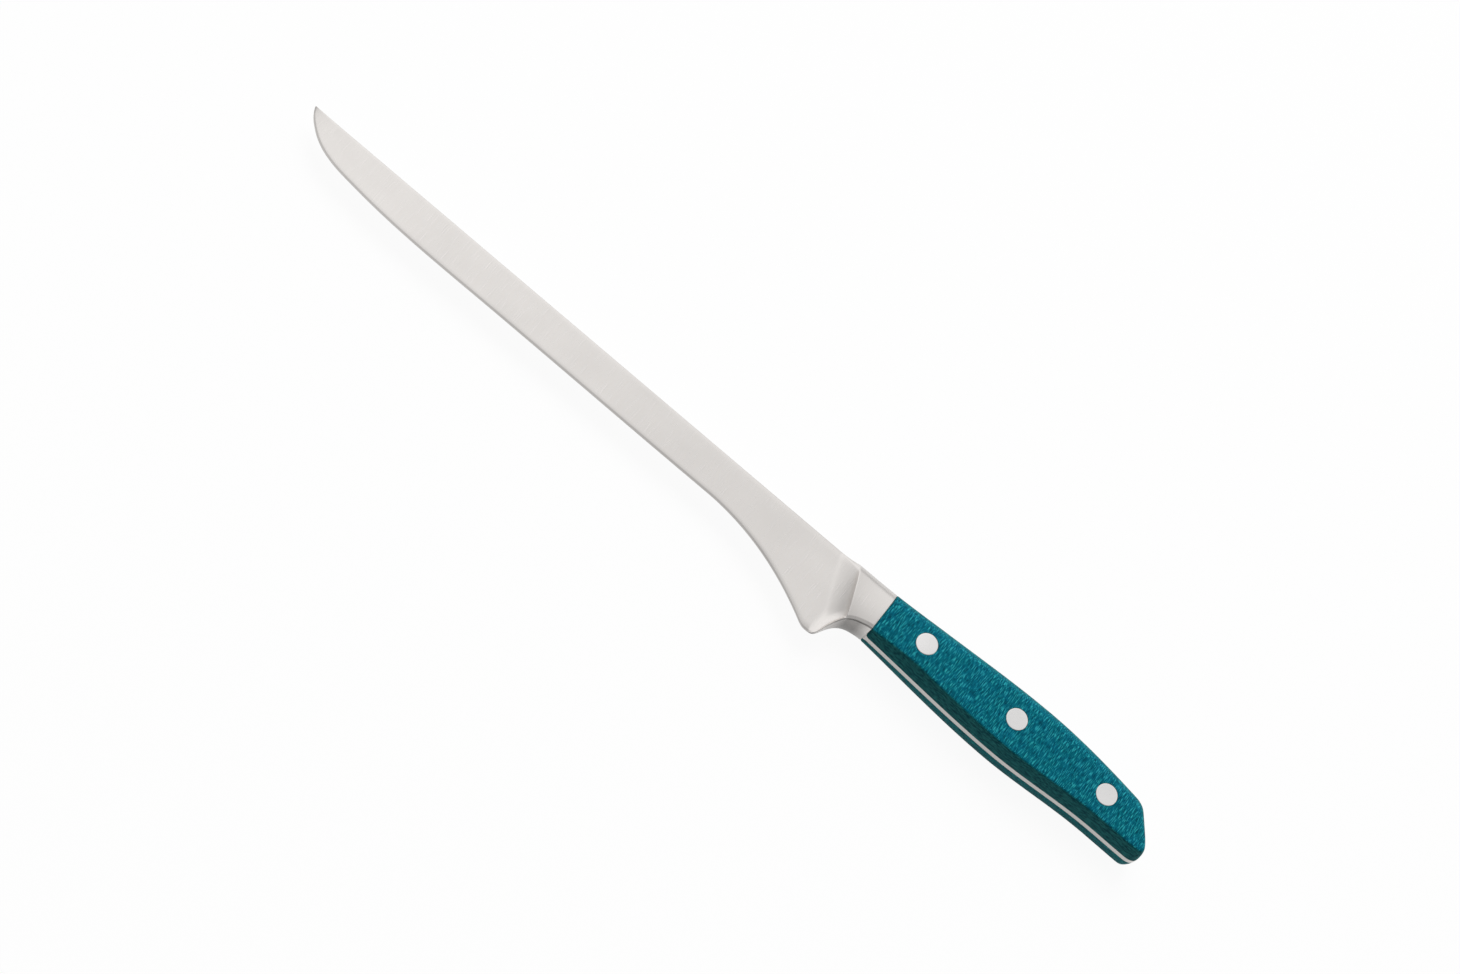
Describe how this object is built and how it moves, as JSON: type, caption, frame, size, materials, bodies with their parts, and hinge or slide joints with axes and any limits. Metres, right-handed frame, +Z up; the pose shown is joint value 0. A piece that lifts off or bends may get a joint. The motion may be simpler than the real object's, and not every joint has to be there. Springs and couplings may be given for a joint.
{
  "type": "ham knife",
  "caption": "Long narrow ham slicing knife: forged full-tang blade with deep heel and slanted bolster, teal cloth-laminate scales and flush cutlery rivets.",
  "frame": {"origin": "Under the middle of the knife's box, on the surface that its right side lies on.", "axes": "+X from the tip to the butt, +Y from the cutting edge to the spine, +Z up through the handle's thickness, from the right scale to the left."},
  "size_m": [0.384, 0.034, 0.018],
  "materials": {
    "blade_steel": "satin, fine grinding lines across the blade",
    "scale_laminate": "matt cloth laminate with visible weave",
    "rivet_steel": "satin, ground flush"
  },
  "bodies": {
    "root": {"forging": "blade_steel", "left_scale": "scale_laminate", "right_scale": "scale_laminate", "front_rivet_barrel": "rivet_steel", "middle_rivet_barrel": "rivet_steel", "rear_rivet_barrel": "rivet_steel", "front_rivet_post": "rivet_steel", "middle_rivet_post": "rivet_steel", "rear_rivet_post": "rivet_steel"}
  },
  "joints": []
}
